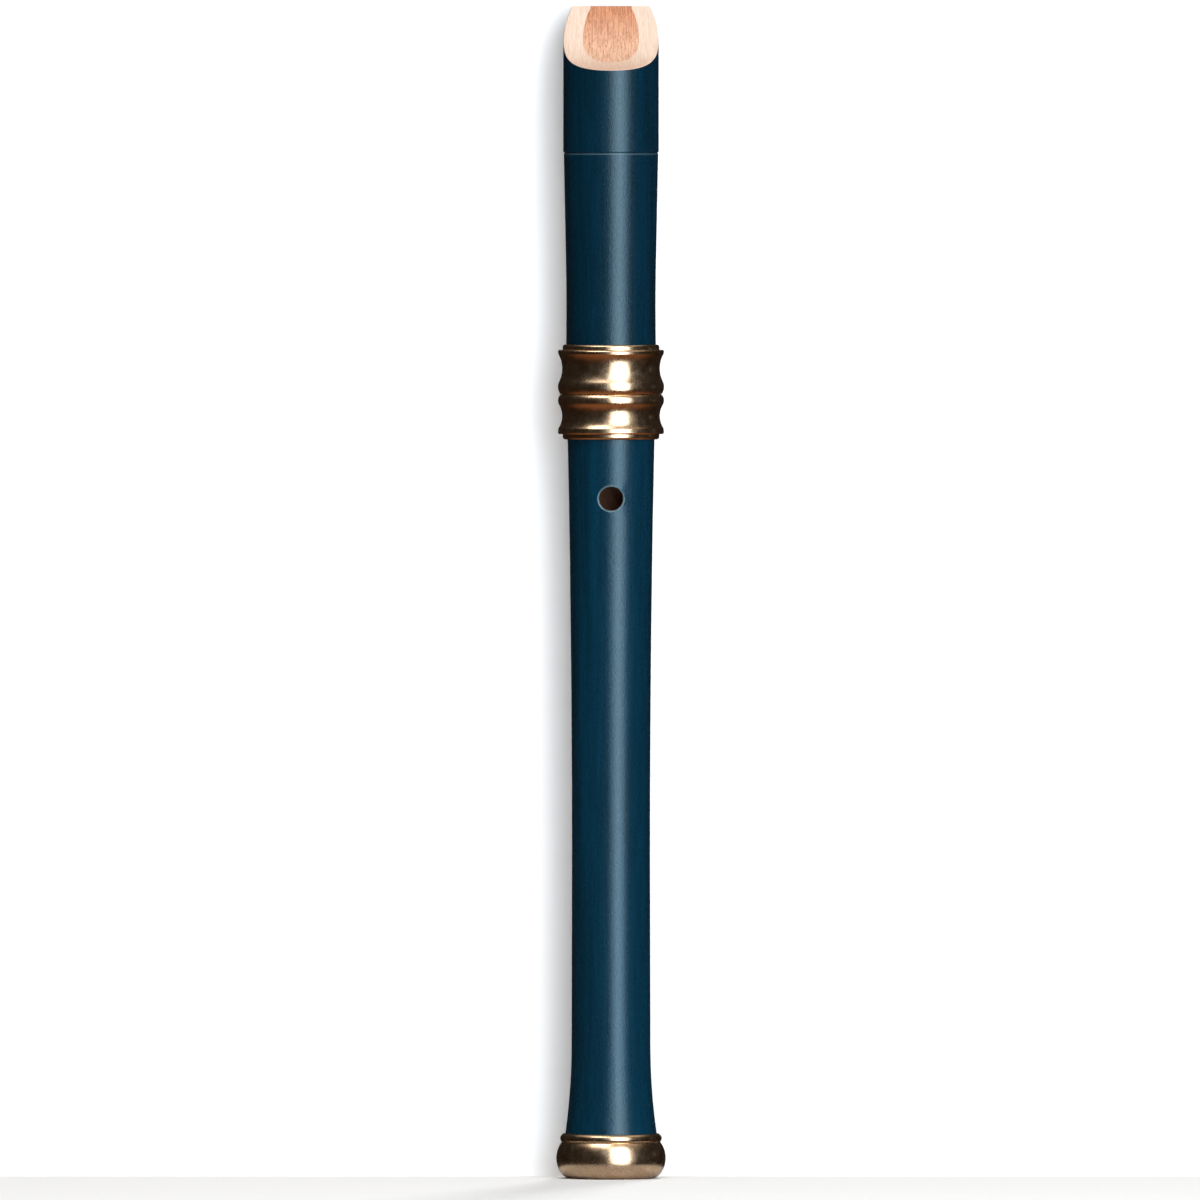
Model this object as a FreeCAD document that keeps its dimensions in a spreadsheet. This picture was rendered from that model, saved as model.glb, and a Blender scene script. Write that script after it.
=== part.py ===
"""Soprano recorder in two joints: a stained pear-wood head and body with turned brass ferrules.

Frame, in millimetres: +Z runs up the bore from the foot to the beak, with the origin at the centre
of the foot's end face. -Y is the thumb side, where the beak is cut away. +Y is the front, with the
window and the finger holes. +X is the player's right.
"""

import FreeCAD, Part
import math
import os
import re

import Sketcher

# Driving dimensions: cell name, millimetres or degrees, and what it is.
DIMENSIONS = [
    ("total_length", 325.0, "foot end face to the tip of the beak"),
    ("joint_height", 217.45, "where the head and body ferrules meet"),
    ("seam_gap", 0.1, "hairline between the two ferrules"),
    ("wood_setback", 0.2, "the wood stands back from the ferrule faces at the joint"),
    # bore of the body joint
    ("foot_bore_radius", 4.9, "cylindrical stretch of the bore at the foot"),
    ("foot_bore_length", 25.0, "length of that stretch"),
    ("bore_top_radius", 7.2, "wide end of the tapered bore, at the top of the tenon"),
    ("bore_mouth_bevel", 0.8, "bevel round the bore at the foot"),
    # outside of the body joint, from the foot up
    ("foot_seat_radius", 11.5, "wood under the foot ring"),
    ("foot_end_radius", 12.68, "wood just above the foot ring"),
    ("foot_flare_radius", 170.0, "curve of the flare above the foot ring"),
    ("flare_top_radius", 10.93, "wood where the flare ends"),
    ("flare_top_height", 35.6, "height where the flare ends"),
    ("waist_radius", 10.82, "slimmest wood"),
    ("waist_height", 90.0, "height of the slimmest wood"),
    ("body_swell_radius", 5500.0, "radius of the long curve at the waist"),
    ("shoulder_radius", 12.05, "wood just under the body ferrule"),
    # tenon and its cork
    ("tenon_length", 24.0, "tenon above the joint"),
    ("tenon_radius", 9.5, "wooden lands above and below the cork"),
    ("cork_seat_radius", 8.5, "bottom of the cork groove"),
    ("cork_seat_start", 4.0, "joint to the lower end of the cork groove"),
    ("cork_seat_length", 16.0, "length of the cork groove"),
    ("cork_clearance", 0.04, "running gap inside and outside the cork"),
    ("edge_bevel", 0.5, "bevel on tenon, cork and socket edges"),
    # foot ring
    ("ring_height", 12.45, "height of the foot ring"),
    ("ring_flange", 1.2, "thickness of the flange that covers the wood's end"),
    ("ring_opening_radius", 8.4, "opening in that flange"),
    ("ring_flat_radius", 11.06, "outer edge of the flat that the foot stands on"),
    ("ring_heel_radius", 3.48, "round between the flat and the bulge"),
    ("ring_heel_height", 1.595, "height where that round ends"),
    ("ring_heel_width", 13.99, "radius there"),
    ("ring_bulge_radius", 7.4, "curve of the bulge"),
    ("ring_neck_width", 13.75, "radius of the quirk between bulge and bead"),
    ("ring_neck_height", 9.95, "height of that quirk"),
    ("ring_bead_radius", 1.38, "round bead at the top of the ring"),
    ("ring_bead_width", 12.9, "radius where the bead runs into the top face"),
    # body ferrule, heights measured down from the joint
    ("body_ferrule_length", 12.55, "height of the body ferrule"),
    ("body_ferrule_bore", 11.3, "inside radius of the body ferrule"),
    ("body_face_width", 13.98, "radius of the body ferrule at its joint face"),
    ("body_bead_radius", 2.357, "bead under the joint"),
    ("body_bead_depth", 2.95, "joint to the foot of that bead"),
    ("body_bead_width", 14.378, "radius there"),
    ("body_cove_radius", 6.1, "hollow of the body ferrule"),
    ("body_rim_depth", 9.5, "joint to the rim of the body ferrule"),
    # head ferrule, heights measured up from the joint
    ("head_ferrule_length", 13.75, "height of the head ferrule"),
    ("head_ferrule_bore", 11.6, "inside radius of the head ferrule"),
    ("head_face_width", 14.1, "radius of the head ferrule at its joint face"),
    ("head_bead_radius", 3.4, "bead above the joint"),
    ("head_bead_depth", 3.5, "joint to the top of that bead"),
    ("head_bead_width", 14.36, "radius there"),
    ("head_cove_radius", 8.17, "hollow of the head ferrule"),
    ("head_rim_depth", 11.15, "joint to the rim of the head ferrule"),
    # rims shared by the two ferrules
    ("rim_width", 14.6, "radius where a hollow runs out at the rim"),
    ("rim_crest", 14.72, "outer radius of the rim"),
    ("rim_thickness", 0.75, "thickness of the rim"),
    ("rim_round", 0.35, "how far the rim's outer edge is rounded in"),
    ("fillet_width", 13.4, "radius of the thin step beyond the rim"),
    ("fillet_round", 0.8, "rounding of that step's outer edge"),
    # head joint
    ("socket_radius", 9.7, "socket for the tenon"),
    ("socket_spare", 0.5, "gap between the tenon's end and the socket's floor"),
    ("head_bore_radius", 7.75, "bore of the head"),
    ("head_foot_radius", 12.43, "wood just above the head ferrule"),
    ("head_waist_radius", 12.34, "slimmest wood of the head"),
    ("head_waist_height", 242.0, "height of that wood"),
    ("head_flare_radius", 650.0, "curve of the head at its waist"),
    ("head_cone_start", 251.0, "height where the head starts to widen evenly"),
    ("head_cone_radius", 12.42, "wood there"),
    ("head_cone_end", 13.08, "wood just under the turned line"),
    ("line_height", 284.4, "root of the turned line round the head"),
    ("line_fall", 0.55, "root down to the line's lower edge"),
    ("line_rise", 0.25, "root up to the line's upper edge"),
    ("line_depth", 0.32, "depth of the root below the cylinder above it"),
    ("beak_radius", 13.23, "cylinder above the turned line"),
    ("beak_round_start", 11.0, "beak tip to where the outside starts to close in"),
    ("beak_round_radius", 63.0, "curve of the outside near the tip"),
    ("beak_tip_radius", 12.33, "outside at the tip, before its edge is softened"),
    # beak cut
    ("beak_tip_offset", 5.6, "axis to the cut at the tip, towards the front"),
    ("beak_flat_offset", 0.8, "axis to the end of the cut's flat, towards the front"),
    ("beak_flat_drop", 7.87, "beak tip down to the end of the flat"),
    ("beak_bend_radius", 20.3, "curve below the flat"),
    ("beak_bend_offset", 3.6, "axis to the end of that curve, towards the thumb side"),
    ("beak_bend_drop", 12.95, "beak tip down to the end of that curve"),
    ("beak_sweep_radius", 23.0, "curve from there out to the heel"),
    ("beak_heel_offset", 15.0, "axis to the end of the cut, towards the thumb side"),
    ("beak_heel_drop", 18.0, "beak tip down to the end of the cut"),
    ("beak_edge_round", 0.4, "softened edge of the cut and of the tip"),
    # windway, window and labium
    ("windway_arch", 26.0, "cross curve of windway, floor and labium"),
    ("windway_exit", 279.5, "height of the windway's exit, the top of the window"),
    ("inlet_half_width", 5.75, "half the width of the windway at the tip"),
    ("exit_half_width", 5.5, "half the width at the exit"),
    ("inlet_roof", 9.5, "axis to the windway's roof at the tip"),
    ("exit_roof", 9.1, "axis to the roof at the exit"),
    ("inlet_floor", 8.3, "axis to the block's floor at the tip"),
    ("exit_floor", 8.1, "axis to the floor at the exit"),
    ("channel_root", 3.0, "depth inside the bore where the channel starts"),
    ("exit_bevel", 0.5, "bevel on the roof and floor at the exit"),
    ("cut_up", 4.2, "window height, exit to labium edge"),
    ("window_half_width", 5.6, "half the width of the window"),
    ("labium_edge", 8.55, "axis to the top of the labium's edge"),
    ("labium_thickness", 0.35, "thickness of that edge"),
    ("ramp_length", 22.0, "labium edge to where the ramp's cutter stops"),
    ("ramp_end", 13.5, "axis to the ramp's surface there"),
    ("ramp_half_width", 6.3, "half the width of the ramp there"),
    ("undercut_length", 9.0, "hollowing under the labium"),
    ("undercut_end", 5.2, "axis to that hollowing where it runs out"),
    # block
    ("block_clearance", 0.04, "gap round the block"),
    # tone holes: heights above the foot, radii and places across the front
    ("thumb_height", 188.6, "thumb hole"),
    ("thumb_radius", 3.33, "thumb hole"),
    ("hole1_height", 176.8, "first finger hole"),
    ("hole1_radius", 2.8, "first finger hole"),
    ("hole2_height", 159.8, "second finger hole"),
    ("hole2_radius", 3.0, "second finger hole"),
    ("hole3_height", 142.3, "third finger hole"),
    ("hole3_radius", 2.8, "third finger hole"),
    ("hole4_height", 118.3, "fourth finger hole"),
    ("hole4_radius", 3.0, "fourth finger hole"),
    ("hole5_height", 99.8, "fifth finger hole"),
    ("hole5_radius", 3.1, "fifth finger hole"),
    ("hole6_height", 81.8, "sixth, a double hole"),
    ("hole7_height", 62.3, "seventh, a double hole"),
    ("large_radius", 2.2, "larger hole of a double hole"),
    ("large_offset", 1.75, "its place, towards the player's right"),
    ("small_radius", 1.65, "smaller hole of a double hole"),
    ("small_offset", 3.1, "its place, towards the player's left"),
    ("hole7_turn", 17.0, "degrees the seventh hole is turned to the player's right"),
    ("hole_edge_round", 0.38, "softened edge of every tone hole"),
]
CUTTER_REACH = 16.0  # longer than any radius of the instrument, so a cutter clears the outside

LEFT, RIGHT = 1, -1  # the side of an arc's travel that its centre lies on
ORIGIN_POINT = (-1, 1)
H_AXIS, V_AXIS = -1, -2
START, END = 1, 2

doc = FreeCAD.newDocument("soprano_recorder")
sheet = doc.addObject("Spreadsheet::Sheet", "dims")
CELLS = {name for name, _, _ in DIMENSIONS}


def fill_sheet():
    """One row per dimension: its name, its value with that name as alias, and what it is."""
    for row, (name, size, meaning) in enumerate(DIMENSIONS, 1):
        sheet.set(f"A{row}", name)
        sheet.set(f"B{row}", str(size))
        sheet.setAlias(f"B{row}", name)
        sheet.set(f"C{row}", meaning)
    doc.recompute()


def cells(expression):
    """The expression with each dimension's name written as its cell in the sheet."""
    named = lambda found: f"dims.{found.group()}" if found.group() in CELLS else found.group()
    return re.sub(r"[a-z][a-z0-9_]*", named, expression)


def size_of(expression):
    """The expression's value now."""
    return float(sheet.evalExpression(cells(expression)))


def bind(thing, path, expression):
    """Ties a property or a sketch constraint to the sheet."""
    thing.setExpression(path, cells(expression))


def new_body(name):
    body = doc.addObject("PartDesign::Body", name)
    body.Label = name
    return body


def new_sketch(body, name, plane, lift=None, turn=None):
    """A sketch on one of the body's planes, lifted along its normal or turned about the bore."""
    sketch = body.newObject("Sketcher::SketchObject", name)
    origin = next(f for f in body.Origin.OriginFeatures if f.Role == f"{plane}_Plane")
    sketch.AttachmentSupport = [(origin, "")]
    sketch.MapMode = "FlatFace"
    if lift:
        bind(sketch, "AttachmentOffset.Base.z", lift)
    if turn:
        upright = FreeCAD.Vector(0, 1, 0)
        sketch.AttachmentOffset = FreeCAD.Placement(FreeCAD.Vector(), FreeCAD.Rotation(upright, 1))
        bind(sketch, "AttachmentOffset.Rotation.Angle", turn)
    return sketch


def pin_coordinate(sketch, kind, axis, point, expression):
    """Fixes one coordinate of a sketch point, on the axis itself where it is 0."""
    if expression == "0":
        sketch.addConstraint(Sketcher.Constraint("PointOnObject", *point, axis))
        return
    index = sketch.addConstraint(
        Sketcher.Constraint(kind, *ORIGIN_POINT, *point, size_of(expression))
    )
    bind(sketch, f"Constraints[{index}]", expression)


def pin_point(sketch, point, across, up):
    pin_coordinate(sketch, "DistanceX", V_AXIS, point, across)
    pin_coordinate(sketch, "DistanceY", H_AXIS, point, up)


def arc_between(start, end, radius, side):
    """The short arc from start to end whose centre lies on that side of the travel."""
    chord = end - start
    left = FreeCAD.Vector(-chord.y, chord.x, 0).normalize()
    middle = (start + end) * 0.5
    reach = math.sqrt(radius**2 - (chord.Length / 2) ** 2)
    centre = middle + left * (side * reach)
    first, last = (start, end) if side == LEFT else (end, start)
    angles = [math.atan2(p.y - centre.y, p.x - centre.x) for p in (first, last)]
    circle = Part.Circle(centre, FreeCAD.Vector(0, 0, 1), radius)
    return Part.ArcOfCircle(circle, *angles)


def draw_outline(sketch, corners):
    """A closed outline. A corner is (across, up), or (across, up, radius, side) where an arc of
    that radius leaves it. All three are expressions of the sheet's dimensions."""
    points = [FreeCAD.Vector(size_of(c[0]), size_of(c[1]), 0) for c in corners]
    ends = []
    for i, corner in enumerate(corners):
        start, end = points[i], points[(i + 1) % len(points)]
        if len(corner) == 2:
            edge = sketch.addGeometry(Part.LineSegment(start, end))
            ends.append(((edge, START), (edge, END)))
            continue
        radius, side = corner[2:]
        edge = sketch.addGeometry(arc_between(start, end, size_of(radius), side))
        order = (START, END) if side == LEFT else (END, START)
        ends.append(((edge, order[0]), (edge, order[1])))
        index = sketch.addConstraint(Sketcher.Constraint("Radius", edge, size_of(radius)))
        bind(sketch, f"Constraints[{index}]", radius)
    for i, corner in enumerate(corners):
        sketch.addConstraint(Sketcher.Constraint("Coincident", *ends[i - 1][1], *ends[i][0]))
        pin_point(sketch, ends[i][0], corner[0], corner[1])


def draw_circles(sketch, circles):
    """Circles given as (across, up, radius)."""
    for across, up, radius in circles:
        centre = FreeCAD.Vector(size_of(across), size_of(up), 0)
        shape = Part.Circle(centre, FreeCAD.Vector(0, 0, 1), size_of(radius))
        circle = sketch.addGeometry(shape)
        index = sketch.addConstraint(Sketcher.Constraint("Radius", circle, size_of(radius)))
        bind(sketch, f"Constraints[{index}]", radius)
        pin_point(sketch, (circle, 3), across, up)


def turn_on_lathe(body, name, corners):
    """Revolves an outline of (radius, height) corners about the bore."""
    sketch = new_sketch(body, f"{name}_outline", "XZ")
    draw_outline(sketch, corners)
    turned = body.newObject("PartDesign::Revolution", name)
    turned.Profile = sketch
    turned.ReferenceAxis = (sketch, ["V_Axis"])
    turned.Angle = 360.0
    doc.recompute()
    return turned


def cut_pocket(body, name, sketch, towards_front=True, both_ways=False):
    """Cuts a sketch out of the body, to beyond its outside, and makes sure that it cut."""
    before = body.Shape.Volume
    pocket = body.newObject("PartDesign::Pocket", name)
    pocket.Profile = sketch
    pocket.Type = "Length"
    pocket.Length = 2 * CUTTER_REACH if both_ways else CUTTER_REACH
    pocket.Midplane = both_ways
    pocket.Reversed = not towards_front
    doc.recompute()
    if body.Shape.Volume >= before:
        raise RuntimeError(f"{name} cuts nothing")
    return pocket


def draw_arched_section(sketch, half_width, root, arch):
    """A section with a flat root, upright sides and an arched top whose crown is at arch."""
    side_drop = f"windway_arch - sqrt(windway_arch ^ 2 - ({half_width}) ^ 2)"
    spring = f"{arch} - ({side_drop})"
    draw_outline(
        sketch,
        [
            (f"-({half_width})", root),
            (half_width, root),
            (half_width, spring, "windway_arch", LEFT),
            (f"-({half_width})", spring),
        ],
    )


def draw_open_section(sketch, half_width, arch):
    """The space outside an arched surface whose crown is at arch, as far as the cutter reaches."""
    side_drop = f"windway_arch - sqrt(windway_arch ^ 2 - ({half_width}) ^ 2)"
    spring = f"{arch} - ({side_drop})"
    draw_outline(
        sketch,
        [
            (half_width, spring),
            (half_width, f"{CUTTER_REACH}"),
            (f"-({half_width})", f"{CUTTER_REACH}"),
            (f"-({half_width})", spring, "windway_arch", RIGHT),
        ],
    )


def loft(body, kind, name, sections):
    """Joins two sections by a straight-sided loft that adds or removes material."""
    before = body.Shape.Volume
    feature = body.newObject(f"PartDesign::{kind}", name)
    feature.Profile = sections[0]
    feature.Sections = sections[1:]
    feature.Ruled = True
    doc.recompute()
    grew = body.Shape.Volume > before
    if grew != (kind == "AdditiveLoft"):
        raise RuntimeError(f"{name} changes nothing")
    return feature


def edge_names(feature, chosen):
    """Names of the feature's edges that the test picks."""
    edges = feature.Shape.Edges
    return [f"Edge{number}" for number, edge in enumerate(edges, 1) if chosen(edge)]


def soften(body, name, feature, chosen, expression, kind="Fillet", property_name="Radius"):
    """Rounds or bevels the chosen edges."""
    names = edge_names(feature, chosen)
    if not names:
        raise RuntimeError(f"{name} finds no edges")
    dressed = body.newObject(f"PartDesign::{kind}", name)
    dressed.Base = (feature, names)
    bind(dressed, property_name, expression)
    doc.recompute()
    return dressed


def off_axis(point):
    """Distance of a point from the bore's axis."""
    return math.hypot(point.x, point.y)


def beak_cut(body):
    """The concave cut across the thumb side of the beak, the same for the head and the block."""
    sketch = new_sketch(body, f"{body.Name}_beak_outline", "YZ")
    above = "total_length + beak_edge_round + 2"
    heel = "total_length - beak_heel_drop"
    draw_outline(
        sketch,
        [
            ("beak_tip_offset", above),
            (f"-{CUTTER_REACH}", above),
            (f"-{CUTTER_REACH}", heel),
            ("-beak_heel_offset", heel, "beak_sweep_radius", LEFT),
            ("-beak_bend_offset", "total_length - beak_bend_drop", "beak_bend_radius", LEFT),
            ("beak_flat_offset", "total_length - beak_flat_drop"),
            ("beak_tip_offset", "total_length"),
        ],
    )
    return cut_pocket(body, f"{body.Name}_beak", sketch, both_ways=True)


def waist_curve(height):
    """Outside radius of the body at a height, on a long shallow parabola about its waist."""
    return f"waist_radius + ({height} - waist_height) ^ 2 / (2 * body_swell_radius)"


def make_body_joint():
    """The lower joint in one piece: tenon, tapered bore, seven finger holes and a thumb hole.
    Its outside is turned in short tapers that meet between the tone holes."""
    body = new_body("body_joint")
    shoulder = "joint_height - seam_gap / 2 - wood_setback"
    tenon_top = "joint_height + tenon_length"
    groove_low = "joint_height + cork_seat_start"
    groove_high = "joint_height + cork_seat_start + cork_seat_length"
    ferrule_low = "joint_height - body_ferrule_length"
    holes = [f"hole{number}_height" for number in range(7, 0, -1)] + ["thumb_height"]
    stations = [f"({low} + {high}) / 2" for low, high in zip(holes, holes[1:])]
    turned = turn_on_lathe(
        body,
        "turned_body",
        [
            ("foot_bore_radius + bore_mouth_bevel", "ring_flange"),
            ("foot_seat_radius", "ring_flange"),
            ("foot_seat_radius", "ring_height"),
            ("foot_end_radius", "ring_height", "foot_flare_radius", RIGHT),
            ("flare_top_radius", "flare_top_height"),
            *[(waist_curve(height), height) for height in stations],
            ("shoulder_radius", ferrule_low),
            ("body_ferrule_bore", ferrule_low),
            ("body_ferrule_bore", shoulder),
            ("tenon_radius", shoulder),
            ("tenon_radius", groove_low),
            ("cork_seat_radius", groove_low),
            ("cork_seat_radius", groove_high),
            ("tenon_radius", groove_high),
            ("tenon_radius", f"{tenon_top} - edge_bevel"),
            ("tenon_radius - edge_bevel", tenon_top),
            ("bore_top_radius", tenon_top),
            ("foot_bore_radius", "ring_flange + foot_bore_length"),
            ("foot_bore_radius", "ring_flange + bore_mouth_bevel"),
        ],
    )
    front = new_sketch(body, "finger_holes_1_to_6", "XZ")
    single = [("0", f"hole{n}_height", f"hole{n}_radius") for n in range(1, 6)]
    draw_circles(front, single + double_hole("hole6_height"))
    cut_pocket(body, "drill_holes_1_to_6", front)
    low = new_sketch(body, "finger_hole_7", "XZ", turn="-hole7_turn")
    draw_circles(low, double_hole("hole7_height"))
    cut_pocket(body, "drill_hole_7", low)
    thumb = new_sketch(body, "thumb_hole", "XZ")
    draw_circles(thumb, [("0", "thumb_height", "thumb_radius")])
    drilled = cut_pocket(body, "drill_thumb_hole", thumb, towards_front=False)

    widest_hole = 2 * math.pi * size_of("thumb_radius") * 1.05
    bore_limit = size_of("bore_top_radius") + 0.5

    def hole_rim(edge):
        outside = min(off_axis(vertex.Point) for vertex in edge.Vertexes) > bore_limit
        along = edge.BoundBox.ZLength
        return outside and 1.0 < along < widest_hole / 3 and not is_turned_edge(edge)

    soften(body, "soft_hole_edges", drilled, hole_rim, "hole_edge_round")
    return body


def is_turned_edge(edge):
    """True for a circle about the bore or a seam along it, which no drill made."""
    level = edge.BoundBox.ZLength < 0.01
    low, high = edge.Vertexes[0].Point, edge.Vertexes[-1].Point
    meridian = edge.BoundBox.YLength < 0.01 and abs(low.y) < 0.01 and low.distanceToPoint(high) > 0.01
    return level or meridian


def double_hole(height):
    """The two small holes that one finger covers."""
    return [
        ("large_offset", height, "large_radius"),
        ("-small_offset", height, "small_radius"),
    ]


def make_tenon_cork():
    """The cork sleeve in the tenon's groove, a running fit in the groove and in the socket."""
    body = new_body("tenon_cork")
    low = "joint_height + cork_seat_start + cork_clearance"
    high = "joint_height + cork_seat_start + cork_seat_length - cork_clearance"
    inside = "cork_seat_radius + cork_clearance"
    outside = "socket_radius - cork_clearance"
    turn_on_lathe(
        body,
        "cork_sleeve",
        [
            (inside, low),
            (f"{outside} - edge_bevel / 2", low),
            (outside, f"{low} + edge_bevel / 2"),
            (outside, f"{high} - edge_bevel / 2"),
            (f"{outside} - edge_bevel / 2", high),
            (inside, high),
        ],
    )
    return body


def make_foot_ring():
    """The brass ring round the foot, with a bead, a bulge and a flange that covers the end."""
    body = new_body("foot_ring")
    bead_low = "ring_neck_height"
    turn_on_lathe(
        body,
        "turned_foot_ring",
        [
            ("ring_opening_radius", "0"),
            ("ring_flat_radius", "0", "ring_heel_radius", LEFT),
            ("ring_heel_width", "ring_heel_height", "ring_bulge_radius", LEFT),
            ("ring_neck_width", bead_low),
            ("ring_neck_width - 0.13", f"{bead_low} + 0.12", "ring_bead_radius", LEFT),
            ("ring_bead_width", "ring_height"),
            ("foot_seat_radius", "ring_height"),
            ("foot_seat_radius", "ring_flange"),
            ("ring_opening_radius", "ring_flange"),
        ],
    )
    return body


def ferrule_end(sign, far_end, bore):
    """The rim and the thin step at a ferrule's far end, as corners that leave the hollow.
    sign is + above the joint and - below it, and far_end is that end's height."""
    away = LEFT if sign == "+" else RIGHT
    toward = "-" if sign == "+" else "+"
    step = f"{far_end} {toward} 1.5"
    rim = f"{far_end} {toward} 1.5 {toward} rim_thickness"
    return [
        ("rim_crest", f"{rim} {sign} rim_round", "rim_thickness", away),
        ("rim_crest - rim_round", step),
        ("fillet_width", step),
        ("fillet_width", f"{far_end} {toward} fillet_round", "fillet_round", away),
        ("fillet_width - fillet_round", far_end),
        (bore, far_end),
    ]


def make_body_ferrule():
    """The brass ferrule at the top of the body joint."""
    body = new_body("body_ferrule")
    face = "joint_height - seam_gap / 2"
    low = "joint_height - body_ferrule_length"
    turn_on_lathe(
        body,
        "turned_body_ferrule",
        [
            ("body_ferrule_bore", face),
            ("body_face_width", face, "body_bead_radius", RIGHT),
            ("body_bead_width", "joint_height - body_bead_depth", "body_cove_radius", LEFT),
            ("rim_width", "joint_height - body_rim_depth"),
        ]
        + ferrule_end("-", low, "body_ferrule_bore"),
    )
    return body


def make_head_ferrule():
    """The brass ferrule round the head's socket."""
    body = new_body("head_ferrule")
    face = "joint_height + seam_gap / 2"
    high = "joint_height + head_ferrule_length"
    turn_on_lathe(
        body,
        "turned_head_ferrule",
        [
            ("head_ferrule_bore", face),
            ("head_face_width", face, "head_bead_radius", LEFT),
            ("head_bead_width", "joint_height + head_bead_depth", "head_cove_radius", RIGHT),
            ("rim_width", "joint_height + head_rim_depth"),
        ]
        + ferrule_end("+", high, "head_ferrule_bore"),
    )
    return body


def make_head_joint():
    """The head: socket, bore, windway channel, window, labium and the hollowed beak."""
    body = new_body("head_joint")
    foot = "joint_height + seam_gap / 2 + wood_setback"
    socket_floor = "joint_height + tenon_length + socket_spare"
    ferrule_high = "joint_height + head_ferrule_length"
    line_low = "line_height - line_fall"
    line_high = "line_height + line_rise"
    turn_on_lathe(
        body,
        "turned_head",
        [
            ("socket_radius + edge_bevel", foot),
            ("head_ferrule_bore", foot),
            ("head_ferrule_bore", ferrule_high),
            ("head_foot_radius", ferrule_high, "head_flare_radius", RIGHT),
            ("head_cone_radius", "head_cone_start"),
            ("head_cone_end", line_low),
            ("beak_radius - line_depth", "line_height"),
            ("beak_radius", line_high),
            ("beak_radius", "total_length - beak_round_start", "beak_round_radius", LEFT),
            ("beak_tip_radius", "total_length"),
            ("head_bore_radius", "total_length"),
            ("head_bore_radius", socket_floor),
            ("socket_radius", socket_floor),
            ("socket_radius", f"{foot} + edge_bevel"),
        ],
    )
    beak_cut(body)

    tip = new_sketch(body, "channel_at_tip", "XY", lift="total_length + 0.5")
    draw_arched_section(tip, "inlet_half_width", "channel_root", "inlet_roof")
    exit_section = new_sketch(body, "channel_at_exit", "XY", lift="windway_exit - 0.5")
    draw_arched_section(exit_section, "exit_half_width", "channel_root", "exit_roof")
    loft(body, "SubtractiveLoft", "windway_channel", [tip, exit_section])

    window = new_sketch(body, "window_outline", "XZ")
    labium = "windway_exit - cut_up"
    draw_outline(
        window,
        [
            ("-window_half_width", labium),
            ("window_half_width", labium),
            ("window_half_width", "windway_exit"),
            ("-window_half_width", "windway_exit"),
        ],
    )
    cut_pocket(body, "window", window)

    edge = new_sketch(body, "ramp_at_edge", "XY", lift=labium)
    draw_open_section(edge, "window_half_width", "labium_edge")
    run_out = new_sketch(body, "ramp_at_end", "XY", lift=f"{labium} - ramp_length")
    draw_open_section(run_out, "ramp_half_width", "ramp_end")
    loft(body, "SubtractiveLoft", "labium_ramp", [edge, run_out])

    under = new_sketch(body, "undercut_at_edge", "XY", lift=labium)
    draw_arched_section(
        under, "exit_half_width", "channel_root", "labium_edge - labium_thickness"
    )
    under_end = new_sketch(body, "undercut_at_end", "XY", lift=f"{labium} - undercut_length")
    draw_arched_section(under_end, "exit_half_width", "channel_root", "undercut_end")
    cut = loft(body, "SubtractiveLoft", "labium_undercut", [under, under_end])

    top, heel = size_of("total_length"), size_of("total_length - beak_heel_drop")
    bore, tip_offset = size_of("head_bore_radius"), size_of("beak_tip_offset")
    windway_corner = math.hypot(size_of("inlet_half_width"), size_of("inlet_roof"))

    def beak_rim(edge):
        """The edges where the cut meets the outside, and the outer edge of the tip."""
        points = edge.discretize(5)
        if edge.BoundBox.ZMin > top - 0.01:
            return all(off_axis(p) > windway_corner for p in points)
        outside = all(off_axis(p) > bore + 1 for p in points)
        on_cut = all(p.y < tip_offset - 0.01 for p in points[1:-1])
        return outside and on_cut and edge.BoundBox.ZMin > heel - 1 and not is_turned_edge(edge)

    soften(body, "soft_beak_edge", cut, beak_rim, "beak_edge_round")
    return body


def make_block():
    """The block that plugs the head's bore and carries the windway's floor."""
    body = new_body("block")
    radius = "head_bore_radius - block_clearance"
    turn_on_lathe(
        body,
        "block_round",
        [
            ("0", "windway_exit"),
            (radius, "windway_exit"),
            (radius, "total_length"),
            ("0", "total_length"),
        ],
    )
    tip = new_sketch(body, "floor_at_tip", "XY", lift="total_length")
    draw_arched_section(tip, "inlet_half_width - block_clearance", "0", "inlet_floor")
    exit_section = new_sketch(body, "floor_at_exit", "XY", lift="windway_exit")
    draw_arched_section(exit_section, "exit_half_width - block_clearance", "0", "exit_floor")
    loft(body, "AdditiveLoft", "windway_floor", [tip, exit_section])
    cut = beak_cut(body)

    exit_height = size_of("windway_exit")
    crown = size_of("exit_floor")

    def exit_edge(edge):
        """The arched edge that the air leaves the floor over."""
        middle = edge.discretize(3)[1]
        level = abs(edge.BoundBox.ZMin - exit_height) + abs(edge.BoundBox.ZMax - exit_height) < 0.01
        return level and abs(middle.y - crown) < 0.05 and abs(middle.x) < 0.05

    soften(body, "exit_bevel_edge", cut, exit_edge, "exit_bevel", "Chamfer", "Size")
    return body


def check_document():
    """Stops on any object that FreeCAD marks as failed."""
    for thing in doc.Objects:
        failed = {"Invalid", "Error"} & set(thing.State)
        if failed:
            raise RuntimeError(f"{thing.Label} is {', '.join(sorted(failed))}")


def export(bodies):
    """Writes each sub-part, one closed solid, to parts/LABEL.step."""
    os.makedirs("parts", exist_ok=True)
    for body in bodies:
        shape = body.Shape
        if shape.isNull() or not shape.isValid() or len(shape.Solids) != 1:
            raise RuntimeError(f"{body.Label} isn't one valid solid")
        shape.exportStep(f"parts/{body.Label}.step")
        print(f"{body.Label}: {shape.Volume / 1000:.2f} cm3, {len(shape.Faces)} faces")


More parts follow.
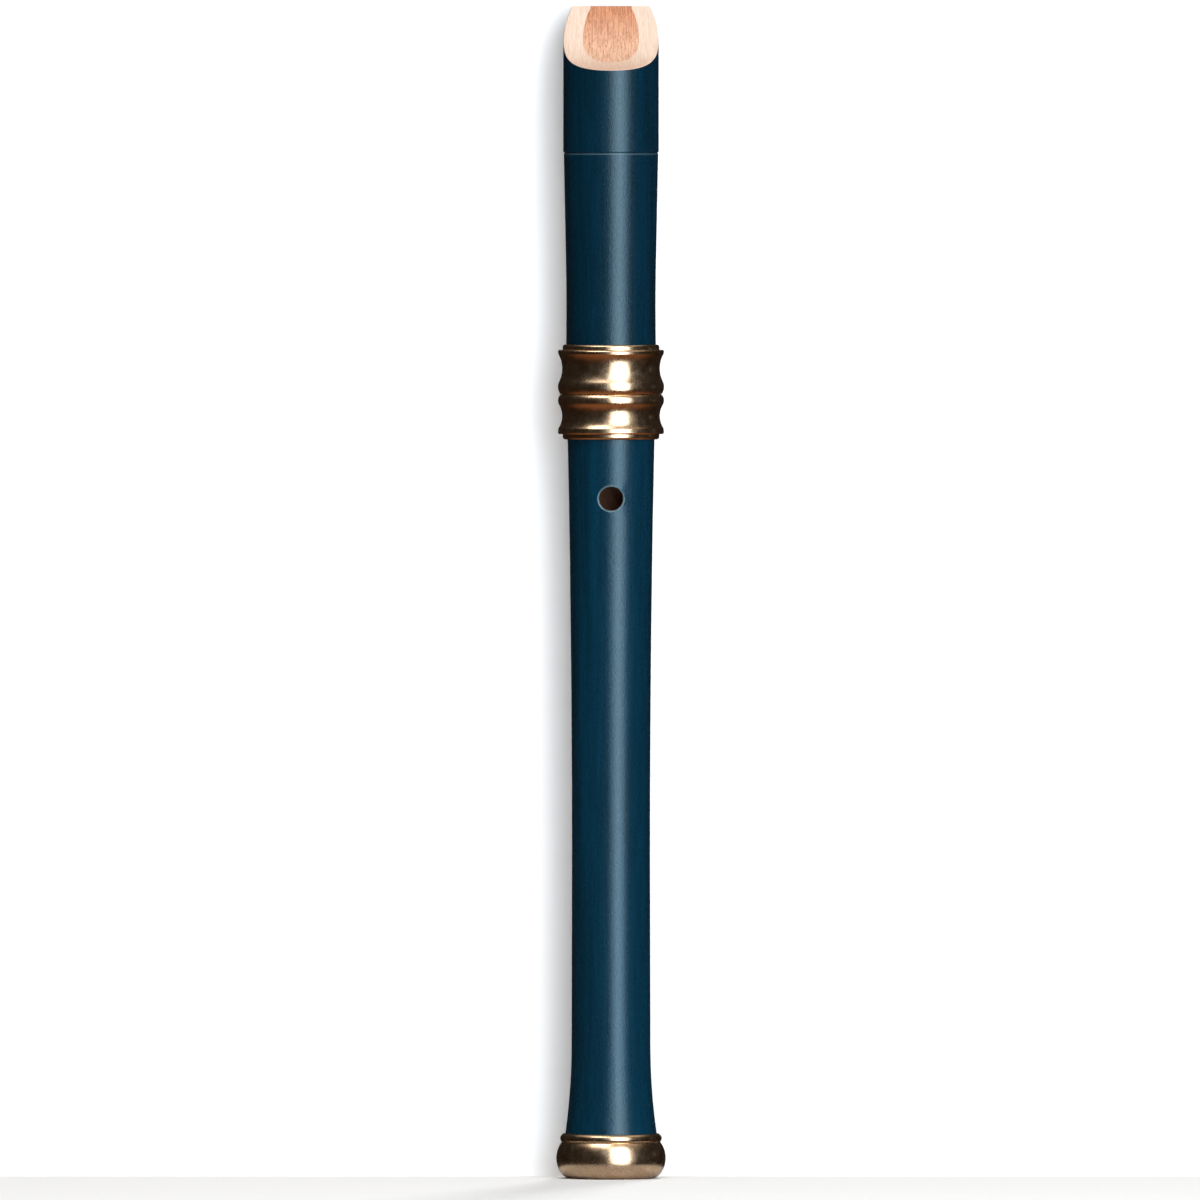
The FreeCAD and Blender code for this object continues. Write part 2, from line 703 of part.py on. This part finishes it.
fill_sheet()
made = [
    make_body_joint(),
    make_tenon_cork(),
    make_foot_ring(),
    make_body_ferrule(),
    make_head_ferrule(),
    make_head_joint(),
    make_block(),
]
doc.recompute()
check_document()
export(made)
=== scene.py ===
"""Looks for a soprano recorder seen from its thumb side: blue-stained wood, bare beak, brass rings.

The frame is the CAD one, in metres: +Z runs up the bore from the foot, -Y is the thumb side that the
camera faces, and +X is the player's right.
"""

import math

import bpy
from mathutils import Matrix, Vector

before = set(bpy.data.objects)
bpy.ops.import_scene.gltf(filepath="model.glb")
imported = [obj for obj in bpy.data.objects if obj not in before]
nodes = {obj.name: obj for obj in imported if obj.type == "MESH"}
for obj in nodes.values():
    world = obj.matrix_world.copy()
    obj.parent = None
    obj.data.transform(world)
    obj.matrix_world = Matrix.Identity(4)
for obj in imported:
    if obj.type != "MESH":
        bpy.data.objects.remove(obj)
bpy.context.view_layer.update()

MM = 0.001

# Outside of the wood, as the CAD part has it
HEAD_TAPER_START, HEAD_TAPER_END = 251 * MM, 284 * MM
HEAD_SLIM_RADIUS, HEAD_WIDE_RADIUS = 12.38 * MM, 13.1 * MM
LINE_LOW, LINE_ROOT = 283.85 * MM, 284.4 * MM  # lower edge of the turned line, where a highlight is painted, and its root
BEAK_CUT_START = 302 * MM
BEAK_TIP_SKIN = 11.3 * MM  # the outside of the beak is never closer to the axis than this
WAIST_RADIUS, WAIST_HEIGHT = 10.82 * MM, 90 * MM
BODY_SWELL_RADIUS = 5500 * MM
THUMB_HEIGHT, THUMB_RADIUS = 188.6 * MM, 3.33 * MM
SKIN = 0.4 * MM  # wood closer to the outside than this is stained


# ---------------------------------------------------------------- shader graphs


class Graph:
    """A material's node tree, with one short call for each kind of node that is used here."""

    def __init__(self, name):
        self.material = bpy.data.materials.new(name)
        self.material.use_nodes = True
        self.tree = self.material.node_tree
        self.tree.nodes.clear()
        self.output = self.tree.nodes.new("ShaderNodeOutputMaterial")
        coordinates = self.tree.nodes.new("ShaderNodeTexCoord")
        self.place = coordinates.outputs["Object"]

    def feed(self, socket, value):
        """Links a node's output to a socket, or sets the socket to a number, colour or vector."""
        if isinstance(value, bpy.types.NodeSocket):
            self.tree.links.new(value, socket)
        elif value is not None:
            socket.default_value = value

    def node(self, kind, settings=None, **inputs):
        made = self.tree.nodes.new(kind)
        for key, value in (settings or {}).items():
            setattr(made, key, value)
        for key, value in inputs.items():
            self.feed(made.inputs[key.replace("_", " ")], value)
        return made

    def math(self, operation, a, b=None):
        made = self.tree.nodes.new("ShaderNodeMath")
        made.operation = operation
        for socket, value in zip(made.inputs, (a, b)):
            self.feed(socket, value)
        return made.outputs[0]

    def split(self, vector):
        made = self.node("ShaderNodeSeparateXYZ", Vector=vector)
        return made.outputs

    def join(self, x, y, z):
        return self.node("ShaderNodeCombineXYZ", X=x, Y=y, Z=z).outputs[0]

    def stretch(self, scale):
        return self.node("ShaderNodeMapping", Vector=self.place, Scale=scale).outputs[0]

    def noise(self, scale, detail=3.0, roughness=0.5):
        """Noise in the range 0 to 1. The scale is per metre along X, Y and Z."""
        made = self.node(
            "ShaderNodeTexNoise",
            Vector=self.stretch(scale),
            Scale=1.0,
            Detail=detail,
            Roughness=roughness,
        )
        return made.outputs["Fac"]

    def remap(self, value, low, high, to_low=0.0, to_high=1.0, smooth=False):
        made = self.tree.nodes.new("ShaderNodeMapRange")
        made.interpolation_type = "SMOOTHSTEP" if smooth else "LINEAR"
        for socket, number in zip(made.inputs, (value, low, high, to_low, to_high)):
            self.feed(socket, number)
        return made.outputs[0]

    def ramp(self, value, stops):
        """A colour ramp through (position, colour) stops."""
        made = self.node("ShaderNodeValToRGB", Fac=value)
        elements = made.color_ramp.elements
        while len(elements) < len(stops):
            elements.new(0.5)
        for element, (position, colour) in zip(elements, stops):
            element.position = position
            element.color = (*colour, 1.0)
        return made.outputs["Color"]

    def mix(self, factor, a, b, blend="MIX"):
        made = self.tree.nodes.new("ShaderNodeMix")
        made.data_type = "RGBA"
        made.blend_type = blend
        self.feed(made.inputs["Factor"], factor)
        self.feed(made.inputs["A"], a if isinstance(a, bpy.types.NodeSocket) else (*a, 1.0))
        self.feed(made.inputs["B"], b if isinstance(b, bpy.types.NodeSocket) else (*b, 1.0))
        return made.outputs["Result"]

    def bump(self, height, distance, strength=1.0, normal=None):
        made = self.node("ShaderNodeBump", Height=height, Distance=distance, Strength=strength)
        self.feed(made.inputs["Normal"], normal)
        return made.outputs[0]

    def shader(self, **inputs):
        """The surface shader, linked to the output."""
        made = self.tree.nodes.new("ShaderNodeBsdfPrincipled")
        for key, value in inputs.items():
            socket = made.inputs[key.replace("_", " ")]
            colour = isinstance(value, tuple) and len(value) == 3 and socket.type == "RGBA"
            self.feed(socket, (*value, 1.0) if colour else value)
        self.tree.links.new(made.outputs[0], self.output.inputs["Surface"])
        return self.material


def srgb(red, green, blue):
    """A colour given in 8-bit display values, as the linear numbers that a shader takes."""
    linear = lambda v: v / 12.92 if v <= 0.04045 else ((v + 0.055) / 1.055) ** 2.4
    return tuple(linear(v / 255) for v in (red, green, blue))


# ---------------------------------------------------------------- wood


def distance_from_bore(g):
    x, y, _ = g.split(g.place)
    return g.math("SQRT", g.math("ADD", g.math("MULTIPLY", x, x), g.math("MULTIPLY", y, y)))


def facing_out(g):
    """How squarely the surface faces away from the bore: 1 on a turned outside, 0 on an end."""
    x, y, _ = g.split(g.place)
    geometry = g.node("ShaderNodeTexCoord")
    normal = geometry.outputs["Normal"]
    outwards = g.node("ShaderNodeVectorMath", {"operation": "NORMALIZE"})
    g.feed(outwards.inputs[0], g.join(x, y, 0.0))
    dot = g.node("ShaderNodeVectorMath", {"operation": "DOT_PRODUCT"})
    g.feed(dot.inputs[0], outwards.outputs[0])
    g.feed(dot.inputs[1], normal)
    return dot.outputs["Value"]


def head_skin(g):
    """1 on the head's stained outside, 0 on the bare beak cut, window, ramp, windway and bore."""
    _, _, z = g.split(g.place)
    radius = distance_from_bore(g)
    taper = g.remap(z, HEAD_TAPER_START, HEAD_TAPER_END, HEAD_SLIM_RADIUS, HEAD_WIDE_RADIUS)
    below = g.math("GREATER_THAN", radius, g.math("SUBTRACT", taper, SKIN))
    turned = g.remap(facing_out(g), 0.9, 0.96)
    above = g.math("MULTIPLY", turned, g.math("GREATER_THAN", radius, BEAK_TIP_SKIN))
    in_beak = g.math("GREATER_THAN", z, BEAK_CUT_START)
    lower = g.math("MULTIPLY", below, g.math("SUBTRACT", 1.0, in_beak))
    return g.math("ADD", lower, g.math("MULTIPLY", above, in_beak))


def body_skin(g):
    """1 on the body's stained outside, 0 in the tone holes, in the bore and on the tenon."""
    _, _, z = g.split(g.place)
    rise = g.math("SUBTRACT", z, WAIST_HEIGHT)
    swell = g.math("DIVIDE", g.math("MULTIPLY", rise, rise), 2 * BODY_SWELL_RADIUS)
    surface = g.math("ADD", swell, WAIST_RADIUS - SKIN - 0.05 * MM)
    return g.math("GREATER_THAN", distance_from_bore(g), surface)


def head_line_highlight(g):
    """1 along the lower edge of the head's turned line, where a highlight is painted on the stain."""
    _, _, z = g.split(g.place)
    above = g.remap(z, LINE_LOW - 0.08 * MM, LINE_LOW, 0.0, 1.0)
    below = g.remap(z, LINE_LOW + 0.1 * MM, LINE_ROOT, 1.0, 0.0)
    return g.math("MULTIPLY", g.math("MULTIPLY", above, below), 0.3)


def thumb_rim_wear_and_highlight(g):
    """1 round the edge of the thumb hole, uneven, where the stain is partly worn pale and partly
    lightened by a painted highlight.
    """
    x, y, z = g.split(g.place)
    rise = g.math("SUBTRACT", z, THUMB_HEIGHT)
    away = g.math("SQRT", g.math("ADD", g.math("MULTIPLY", x, x), g.math("MULTIPLY", rise, rise)))
    edge = g.remap(away, THUMB_RADIUS + 0.25 * MM, THUMB_RADIUS + 0.55 * MM, 1.0, 0.0)
    at_back = g.math("MULTIPLY", edge, g.math("LESS_THAN", y, 0.0))
    return g.math("MULTIPLY", at_back, g.remap(g.noise((500, 500, 500)), 0.35, 0.65, 0.45, 1.0))


def make_wood(name, skin, edge_wear_and_highlight, strength, bare_light, bare_dark, bare_low):
    """Stained and oiled outside, bare wood wherever the skin mask is 0. The stain is darker where
    its strength is lower."""
    g = Graph(name)
    _, _, z = g.split(g.place)
    streaks = g.noise((1500, 1500, 60), detail=3, roughness=0.5)
    broad = g.noise((260, 260, 12), detail=3)
    mottle = g.noise((2600, 2600, 1700), detail=1, roughness=0.5)
    pores = g.noise((4200, 4200, 500), detail=2)

    stain_mix = g.math("ADD", g.math("MULTIPLY", streaks, 0.3), g.math("MULTIPLY", broad, 0.55))
    stain_mix = g.math("ADD", stain_mix, g.math("MULTIPLY", mottle, 0.15))
    stain = g.ramp(
        stain_mix,
        [
            (0.32, srgb(0, 36, 51)),
            (0.5, srgb(0, 46, 66)),
            (0.68, srgb(0, 56, 80)),
        ],
    )
    stain = g.mix(1.0, stain, (strength,) * 3, "MULTIPLY")
    pore_dark = g.remap(pores, 0.3, 0.42, 0.93, 1.0)
    stain = g.mix(1.0, stain, g.join(pore_dark, pore_dark, pore_dark), "MULTIPLY")
    # Pale edges mixed into the stain: a painted highlight along the head's turned line, and round the
    # thumb hole partly worn stain, partly painted highlight
    stain = g.mix(edge_wear_and_highlight(g), stain, srgb(104, 128, 136))

    rings = g.noise((2400, 200, 10), detail=4, roughness=0.6)
    fine = g.noise((5200, 900, 60), detail=3)
    bare_mix = g.math("ADD", g.math("MULTIPLY", rings, 0.6), g.math("MULTIPLY", fine, 0.4))
    bare = g.ramp(bare_mix, [(0.32, bare_dark), (0.62, bare_light)])
    heel = g.remap(z, BEAK_CUT_START + 4 * MM, BEAK_CUT_START + 9 * MM, 0.75, 0.0)
    bare = g.mix(heel, bare, bare_low)

    mask = skin(g)
    colour = g.mix(mask, bare, stain)
    gloss = g.math("ADD", g.math("MULTIPLY", mottle, 0.2), g.math("MULTIPLY", streaks, 0.04))
    stained_gloss = g.math("ADD", gloss, 0.19)
    roughness = g.mix(mask, (0.62, 0.62, 0.62), g.join(stained_gloss, stained_gloss, stained_gloss))
    relief = g.math("ADD", g.math("MULTIPLY", streaks, 0.15), g.math("MULTIPLY", mottle, 0.85))
    normal = g.bump(relief, 0.04 * MM, 1.0)
    return g.shader(
        Base_Color=colour,
        Roughness=roughness,
        Normal=normal,
        IOR=1.53,
        Specular_Tint=(0.62, 0.89, 1.0),
    )


def make_block_wood():
    """Cedar with close straight grain, darker towards the tip."""
    g = Graph("block_cedar")
    _, _, z = g.split(g.place)
    lines = g.noise((2600, 300, 10), detail=4, roughness=0.65)
    fine = g.noise((6500, 1500, 60), detail=3)
    flecks = g.noise((3600, 3600, 420), detail=2)
    grain = g.math("ADD", g.math("MULTIPLY", lines, 0.6), g.math("MULTIPLY", fine, 0.4))
    tip = g.remap(z, 311 * MM, 323 * MM, 0.0, 1.0)
    pale = g.ramp(grain, [(0.36, srgb(182, 124, 94)), (0.6, srgb(239, 196, 165))])
    deep = g.ramp(grain, [(0.36, srgb(155, 91, 57)), (0.6, srgb(213, 149, 110))])
    colour = g.mix(tip, pale, deep)
    fleck = g.remap(flecks, 0.28, 0.38, 0.55, 1.0)
    colour = g.mix(1.0, colour, g.join(fleck, fleck, fleck), "MULTIPLY")
    normal = g.bump(grain, 0.05 * MM, 0.5)
    roughness = g.remap(grain, 0.3, 0.7, 0.7, 0.55)
    return g.shader(Base_Color=colour, Roughness=roughness, Normal=normal, IOR=1.45)


def make_brass():
    """Polished brass with fine turning marks round it, and a little tarnish."""
    g = Graph("turned_brass")
    marks = g.noise((30, 30, 9000), detail=4, roughness=0.7)
    cloud = g.noise((420, 420, 420), detail=4, roughness=0.6)
    speck = g.noise((4200, 4200, 4200), detail=2)
    tone = g.math("ADD", g.math("MULTIPLY", cloud, 0.6), g.math("MULTIPLY", marks, 0.4))
    colour = g.ramp(
        tone,
        [(0.3, (0.64, 0.43, 0.26)), (0.55, (0.8, 0.57, 0.37)), (0.75, (0.88, 0.66, 0.45))],
    )
    gloss = g.math("ADD", g.math("MULTIPLY", cloud, 0.2), g.math("MULTIPLY", speck, 0.12))
    roughness = g.math("ADD", gloss, 0.1)
    normal = g.bump(marks, 0.006 * MM, 0.6)
    normal = g.bump(speck, 0.006 * MM, 0.08, normal)
    return g.shader(Base_Color=colour, Metallic=1.0, Roughness=roughness, Normal=normal)


def make_cork():
    """Granulated cork with dark lenticels."""
    g = Graph("sanded_cork")
    granules = g.node("ShaderNodeTexVoronoi", Vector=g.stretch((1300, 1300, 1300)), Scale=1.0)
    grain = g.noise((2400, 2400, 2400), detail=5, roughness=0.65)
    spots = g.noise((900, 900, 500), detail=3)
    tone = g.math("ADD", g.math("MULTIPLY", granules.outputs["Distance"], 0.5), grain)
    colour = g.ramp(
        tone,
        [(0.35, srgb(120, 78, 44)), (0.6, srgb(186, 138, 90)), (0.9, srgb(208, 164, 116))],
    )
    spot = g.remap(spots, 0.3, 0.38, 0.45, 1.0)
    colour = g.mix(1.0, colour, g.join(spot, spot, spot), "MULTIPLY")
    normal = g.bump(tone, 0.1 * MM, 0.6)
    return g.shader(Base_Color=colour, Roughness=0.85, Normal=normal)


def wear(node, material):
    """Gives a CAD node its material."""
    for slot in nodes[node].material_slots:
        slot.material = material


brass = make_brass()
head_wood = make_wood(
    "head_wood", head_skin, head_line_highlight, 0.59, srgb(234, 208, 187), srgb(208, 176, 153), srgb(214, 166, 139)
)
bore_brown = srgb(150, 100, 64)
body_wood = make_wood("body_wood", body_skin, thumb_rim_wear_and_highlight, 0.85, bore_brown, srgb(100, 62, 36), bore_brown)
wear("head_joint", head_wood)
wear("body_joint", body_wood)
wear("block", make_block_wood())
wear("tenon_cork", make_cork())
for ring in ("head_ferrule", "body_ferrule", "foot_ring"):
    wear(ring, brass)


# ---------------------------------------------------------------- stage, lights and camera

VIEW_CENTRE = Vector((-3.05 * MM, 0.0, 160.36 * MM))
VIEW_WIDTH = 332.69 * MM
CAMERA_DISTANCE = 9.24
LOOK_DOWN = math.radians(1.0)
WALL_BEHIND, WALL_REACH, WALL_TOP = 15.4 * MM, 0.4, 3.0
CARD_RADIUS, CARD_RISE = 24 * MM, 0.1 * MM
FLOOR_SIDE, FLOOR_DEPTH = 3, 5  # half sizes
LIGHT_AIM = Vector((0, 0, 0.17))
SENSOR_WIDTH = 36.0
FADE_START, FADE_END = 0.6, 1.8


def flat_sheet(name, corners):
    mesh = bpy.data.meshes.new(name)
    mesh.from_pydata(corners, [], [range(len(corners))])
    made = bpy.data.objects.new(name, mesh)
    bpy.context.scene.collection.objects.link(made)
    return made


def make_paper(name, tone, glow=0.0, one_sided=False, fades=False):
    """Matt paper, lit a little from behind if it glows. The one-sided kind isn't there for whoever
    looks at its back, and the kind that fades ends softly, far from the recorder."""
    g = Graph(name)
    tooth = g.noise((900, 900, 900), detail=3)
    colour = g.ramp(tooth, [(0.3, (tone - 0.03,) * 3), (0.7, (tone,) * 3)])
    material = g.shader(
        Base_Color=colour,
        Roughness=0.9,
        Specular_IOR_Level=0.1,
        Emission_Color=(1.0, 1.0, 1.0),
        Emission_Strength=glow,
    )
    gone = None
    if one_sided:
        gone = g.node("ShaderNodeNewGeometry").outputs["Backfacing"]
    elif fades:
        gone = g.remap(distance_from_bore(g), FADE_START, FADE_END, smooth=True)
    if gone is not None:
        surface = g.output.inputs["Surface"].links[0].from_socket
        clear = g.node("ShaderNodeBsdfTransparent").outputs[0]
        choice = g.tree.nodes.new("ShaderNodeMixShader")
        for socket, value in zip(choice.inputs, (gone, surface, clear)):
            g.feed(socket, value)
        g.tree.links.new(choice.outputs[0], g.output.inputs["Surface"])
    return material


floor_outline = (
    (-FLOOR_SIDE, -FLOOR_DEPTH),
    (FLOOR_SIDE, -FLOOR_DEPTH),
    (FLOOR_SIDE, FLOOR_DEPTH),
    (-FLOOR_SIDE, FLOOR_DEPTH),
)
floor = flat_sheet("floor", [(x, y, 0) for x, y in floor_outline])
floor.visible_glossy = False
floor.data.materials.append(make_paper("floor_paper", 0.93, fades=True))
wall_outline = ((-WALL_REACH, 0), (WALL_REACH, 0), (WALL_REACH, WALL_TOP), (-WALL_REACH, WALL_TOP))
wall = flat_sheet("backdrop", [(x, WALL_BEHIND, z) for x, z in wall_outline])
wall.data.materials.append(make_paper("backdrop_paper", 0.93, glow=0.12, one_sided=True))
wall.visible_glossy = False
wall.visible_shadow = False
wall.visible_diffuse = False

# The patch of paper under the foot, seen only in reflections
rim = [math.radians(step * 10) for step in range(36)]
card = flat_sheet("foot_card", [(CARD_RADIUS * math.cos(a), CARD_RADIUS * math.sin(a), 0) for a in rim])
card.location.z = CARD_RISE
card.data.materials.append(make_paper("card_paper", 0.5))
card.visible_camera = False
card.visible_diffuse = False
card.visible_shadow = False


def add_softbox(name, azimuth, height, distance, size, radiance, tint=(1, 1, 1), mirrored=True):
    """A rectangular light that faces the recorder. Azimuth 0 is the camera's side, 90 is +X."""
    data = bpy.data.lights.new(name, "AREA")
    data.shape = "RECTANGLE"
    data.size, data.size_y = size
    data.energy = radiance * math.pi * size[0] * size[1]
    data.color = tint
    made = bpy.data.objects.new(name, data)
    angle = math.radians(azimuth)
    made.location = (distance * math.sin(angle), -distance * math.cos(angle), height)
    made.rotation_euler = (LIGHT_AIM - made.location).to_track_quat("-Z", "Y").to_euler()
    made.visible_camera = False
    made.visible_glossy = mirrored
    bpy.context.scene.collection.objects.link(made)
    return made


# The key is brighter along its middle, like a lamp behind cloth
add_softbox("key", 21, 0.42, 1.3, (0.3, 1.9), 3.7, tint=(0.95, 1.0, 1.07))
add_softbox("key_cloth", 21, 0.42, 1.32, (0.98, 1.9), 3.8, tint=(0.95, 1.0, 1.07))
add_softbox("overhead", -36, 1.35, 0.75, (0.9, 0.45), 3.8)
add_softbox("right_rim", 107, 0.25, 1.2, (0.06, 0.2), 0.35)
add_softbox("behind", 168, 0.9, 1.6, (0.35, 0.6), 27, mirrored=False)


def make_world():
    """A pale background to the eye. As a light, it is a dark studio with a pale ceiling and a warm
    floor, far off below the paper."""
    world = bpy.data.worlds.new("studio")
    bpy.context.scene.world = world
    world.use_nodes = True
    tree = world.node_tree
    tree.nodes.clear()
    output = tree.nodes.new("ShaderNodeOutputWorld")
    background = tree.nodes.new("ShaderNodeBackground")
    coordinates = tree.nodes.new("ShaderNodeTexCoord")
    split = tree.nodes.new("ShaderNodeSeparateXYZ")
    height = tree.nodes.new("ShaderNodeMapRange")
    ramp = tree.nodes.new("ShaderNodeValToRGB")
    tree.links.new(coordinates.outputs["Generated"], split.inputs[0])
    tree.links.new(split.outputs["Z"], height.inputs[0])
    for socket, value in zip(height.inputs[1:], (-1.0, 1.0, 0.0, 1.0)):
        socket.default_value = value
    tree.links.new(height.outputs[0], ramp.inputs[0])
    stops = [
        (0.0, (0.36, 0.17, 0.075)),
        (0.14, (0.2, 0.085, 0.033)),
        (0.26, (0.02, 0.012, 0.007)),
        (0.5, (0.016, 0.012, 0.009)),
        (0.84, (0.02, 0.017, 0.014)),
        (0.93, (0.7, 0.64, 0.55)),
    ]
    while len(ramp.color_ramp.elements) < len(stops):
        ramp.color_ramp.elements.new(0.5)
    for element, (position, colour) in zip(ramp.color_ramp.elements, stops):
        element.position = position
        element.color = (*colour, 1.0)
    tree.links.new(ramp.outputs[0], background.inputs["Color"])
    pale = tree.nodes.new("ShaderNodeBackground")
    pale.inputs["Color"].default_value = (1.0, 1.0, 1.0, 1.0)
    seen = tree.nodes.new("ShaderNodeLightPath")
    choice = tree.nodes.new("ShaderNodeMixShader")
    tree.links.new(seen.outputs["Is Camera Ray"], choice.inputs[0])
    tree.links.new(background.outputs[0], choice.inputs[1])
    tree.links.new(pale.outputs[0], choice.inputs[2])
    tree.links.new(choice.outputs[0], output.inputs["Surface"])


make_world()

camera_data = bpy.data.cameras.new("camera")
camera_data.sensor_width = SENSOR_WIDTH
camera_data.lens = SENSOR_WIDTH * CAMERA_DISTANCE / VIEW_WIDTH
camera_data.clip_end = 50.0
camera = bpy.data.objects.new("camera", camera_data)
back_off = Vector((0, -math.cos(LOOK_DOWN), math.sin(LOOK_DOWN))) * CAMERA_DISTANCE
camera.location = VIEW_CENTRE + back_off
camera.rotation_euler = (math.pi / 2 - LOOK_DOWN, 0, 0)
bpy.context.scene.collection.objects.link(camera)
bpy.context.scene.camera = camera
bpy.context.scene.view_settings.view_transform = "Standard"
